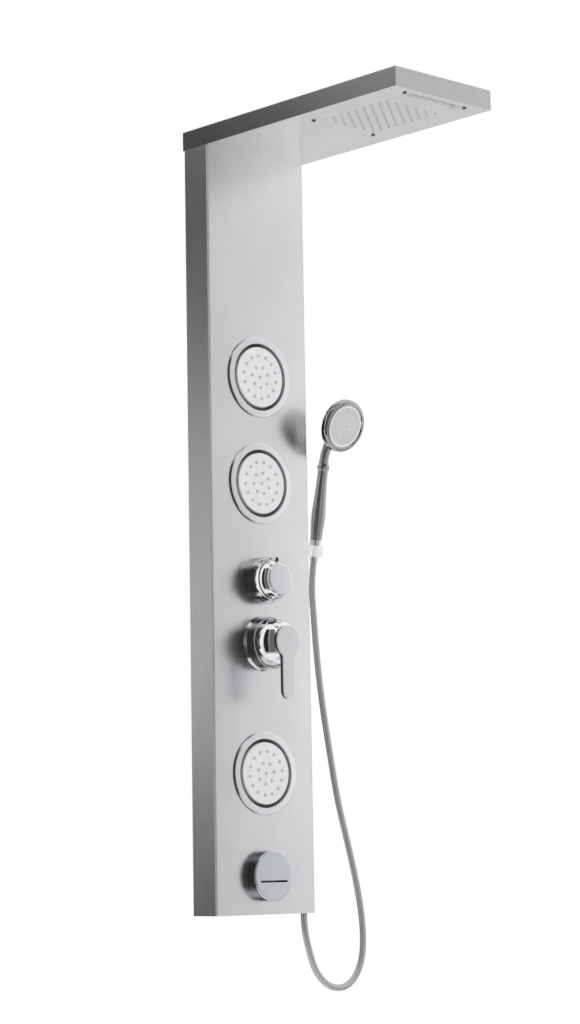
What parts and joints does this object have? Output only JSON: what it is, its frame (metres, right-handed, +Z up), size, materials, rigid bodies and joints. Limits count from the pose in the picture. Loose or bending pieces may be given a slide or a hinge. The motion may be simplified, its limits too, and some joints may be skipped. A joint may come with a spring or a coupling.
{
  "type": "shower panel column",
  "caption": "Wall-hung shower panel column with overhead rain and waterfall box, swivelling body jets, diverter knob, lever mixer, slot spout and a hand shower on a hose.",
  "frame": {"origin": "on the wall plane, midway between the two screw holes of the upper wall bracket", "axes": "+X to the right seen from the front, +Y into the wall, +Z up"},
  "size_m": [0.3255, 0.463, 1.3211],
  "materials": {
    "brushed_panel": "fine brushed stainless sheet",
    "zinc_bracket": "plain zinc plated sheet",
    "steel_fastener": "plain steel",
    "chamber_plastic": "moulded plastic",
    "nozzle_silicone": "soft silicone",
    "jet_face_plastic": "smooth light plastic",
    "inner_plastic": "plain moulded plastic",
    "black_rubber": "matte",
    "valve_brass": "cast and machined",
    "inner_hose": "woven outer",
    "dark_pin": "smooth",
    "holder_plastic": "smooth white plastic",
    "silver_hose": "smooth silver plastic skin",
    "spray_face": "smooth grey plastic",
    "handset_chrome": "chrome plated plastic",
    "polished_chrome": "polished chrome plate"
  },
  "bodies": {
    "panel": {"column_shell": "brushed_panel", "bottom_plate": "brushed_panel", "hanging_rails": "zinc_bracket", "upper_wall_bracket": "zinc_bracket", "lower_wall_bracket": "zinc_bracket", "head_cover": "brushed_panel", "head_base": "brushed_panel", "head_fixing_screws": "steel_fastener", "head_fixing_nuts": "steel_fastener", "rain_chamber": "chamber_plastic", "rain_nozzle_mat": "nozzle_silicone", "waterfall_chamber": "chamber_plastic", "chamber_screws": "steel_fastener", "jet_1_ring": "polished_chrome", "jet_2_ring": "polished_chrome", "jet_3_ring": "polished_chrome", "jet_housings": "inner_plastic", "jet_locknuts": "inner_plastic", "jet_gaskets": "black_rubber", "diverter_body": "valve_brass", "diverter_cartridge": "inner_plastic", "diverter_escutcheon": "polished_chrome", "mixer_body": "valve_brass", "mixer_cartridge": "inner_plastic", "cartridge_nut": "valve_brass", "mixer_escutcheon": "polished_chrome", "link_pipe": "valve_brass", "riser_hose": "inner_hose", "waterfall_hose": "inner_hose", "jet_hoses": "inner_hose", "spout_hose": "inner_hose", "handset_feed_hose": "inner_hose", "spout_body": "polished_chrome", "spout_nut": "valve_brass", "shower_holder": "holder_plastic", "holder_screws": "steel_fastener", "hose_outlet": "valve_brass", "hose_lower_nut": "polished_chrome", "shower_hose": "silver_hose"},
    "mixer_rotor": {"mixer_spindle": "valve_brass"},
    "mixer_handle": {"mixer_lever": "polished_chrome", "lever_pivot_pin": "steel_fastener"},
    "diverter_dial": {"diverter_spindle": "valve_brass", "diverter_knob": "polished_chrome", "knob_index_pin": "dark_pin"},
    "hose_end": {"hose_cone_nut": "polished_chrome"},
    "hand_shower": {"hand_shower_body": "handset_chrome", "hand_shower_face": "spray_face"},
    "jet_1_seat": {"jet_1_ball_cup": "inner_plastic"},
    "jet_1_head": {"jet_1_face": "jet_face_plastic", "jet_1_nozzles": "nozzle_silicone", "jet_1_stem": "inner_plastic"},
    "jet_2_seat": {"jet_2_ball_cup": "inner_plastic"},
    "jet_2_head": {"jet_2_face": "jet_face_plastic", "jet_2_nozzles": "nozzle_silicone", "jet_2_stem": "inner_plastic"},
    "jet_3_seat": {"jet_3_ball_cup": "inner_plastic"},
    "jet_3_head": {"jet_3_face": "jet_face_plastic", "jet_3_nozzles": "nozzle_silicone", "jet_3_stem": "inner_plastic"}
  },
  "joints": [
    {"name": "mixer_temperature", "type": "hinge", "parent": "panel", "child": "mixer_rotor", "pos_m": [0, -0.0783, -0.678], "axis": [0, 1, 0], "range_deg": [-50, 50]},
    {"name": "mixer_flow", "type": "hinge", "parent": "mixer_rotor", "child": "mixer_handle", "pos_m": [0, -0.0783, -0.678], "axis": [-1, 0, 0], "range_deg": [0, 20]},
    {"name": "diverter_turn", "type": "hinge", "parent": "panel", "child": "diverter_dial", "pos_m": [0, -0.056, -0.582], "axis": [0, 1, 0], "continuous": true},
    {"name": "handset_lift", "type": "slide", "parent": "panel", "child": "hose_end", "axis": [0, -0.1736, 0.9848], "range_m": [0, 0.06], "deforming": ["shower_hose"]},
    {"name": "handset_swivel", "type": "hinge", "parent": "hose_end", "child": "hand_shower", "pos_m": [0.134, -0.033, -0.5255], "axis": [0, -0.1736, 0.9848], "range_deg": [-30, 90]},
    {"name": "jet_1_pan", "type": "hinge", "parent": "panel", "child": "jet_1_seat", "pos_m": [0, -0.0392, -0.267], "axis": [0, 0, 1], "range_deg": [-10, 10]},
    {"name": "jet_1_tilt", "type": "hinge", "parent": "jet_1_seat", "child": "jet_1_head", "pos_m": [0, -0.0392, -0.267], "axis": [1, 0, 0], "range_deg": [-10, 10]},
    {"name": "jet_2_pan", "type": "hinge", "parent": "panel", "child": "jet_2_seat", "pos_m": [0, -0.0392, -0.432], "axis": [0, 0, 1], "range_deg": [-10, 10]},
    {"name": "jet_2_tilt", "type": "hinge", "parent": "jet_2_seat", "child": "jet_2_head", "pos_m": [0, -0.0392, -0.432], "axis": [1, 0, 0], "range_deg": [-10, 10]},
    {"name": "jet_3_pan", "type": "hinge", "parent": "panel", "child": "jet_3_seat", "pos_m": [0, -0.0392, -0.874], "axis": [0, 0, 1], "range_deg": [-10, 10]},
    {"name": "jet_3_tilt", "type": "hinge", "parent": "jet_3_seat", "child": "jet_3_head", "pos_m": [0, -0.0392, -0.874], "axis": [1, 0, 0], "range_deg": [-10, 10]}
  ]
}
